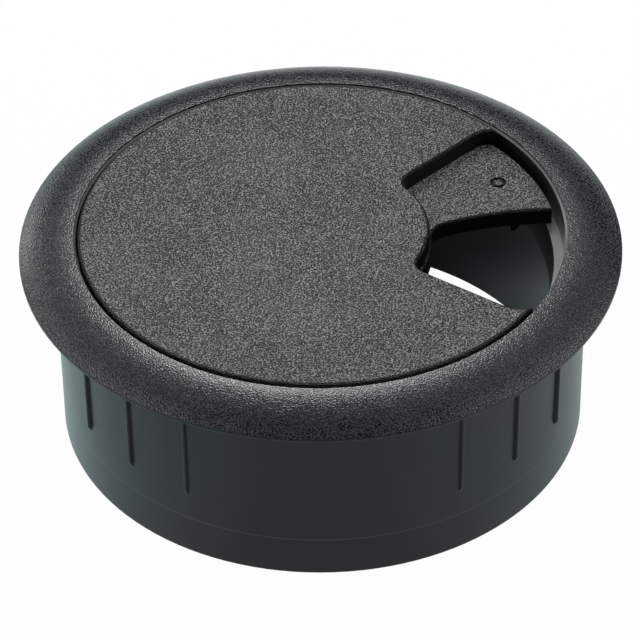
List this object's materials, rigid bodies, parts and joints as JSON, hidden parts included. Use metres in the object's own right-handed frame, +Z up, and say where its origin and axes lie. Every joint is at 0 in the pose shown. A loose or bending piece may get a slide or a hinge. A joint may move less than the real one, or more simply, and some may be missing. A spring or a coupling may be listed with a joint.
{
  "type": "desk cable grommet",
  "caption": "Round black desk cable grommet: domed, ribbed sleeve for a drilled desk hole, flat notched cap, and a closer that swivels under the cap to open or shut the notch.",
  "frame": {"origin": "centre of the lower rim of the sleeve, on the surface that the grommet stands on", "axes": "+Z up along the axis of the sleeve, towards the cap; +X towards the cable notch"},
  "size_m": [0.067, 0.067, 0.0246],
  "materials": {
    "sleeve_plastic": "fine grain on the flange, smooth satin wall",
    "cap_plastic": "fine spark-eroded grain",
    "closer_plastic": "fine spark-eroded grain"
  },
  "bodies": {
    "sleeve": {"sleeve": "sleeve_plastic"},
    "cap": {"cap": "cap_plastic"},
    "closer": {"closer": "closer_plastic"}
  },
  "joints": [
    {"name": "cap_turn", "type": "hinge", "parent": "sleeve", "child": "cap", "pos_m": [0, 0, 0.0204], "axis": [0, 0, 1], "continuous": true},
    {"name": "closer_turn", "type": "hinge", "parent": "cap", "child": "closer", "pos_m": [0, 0, 0.0204], "axis": [0, 0, 1], "range_deg": [-50, 32]}
  ]
}
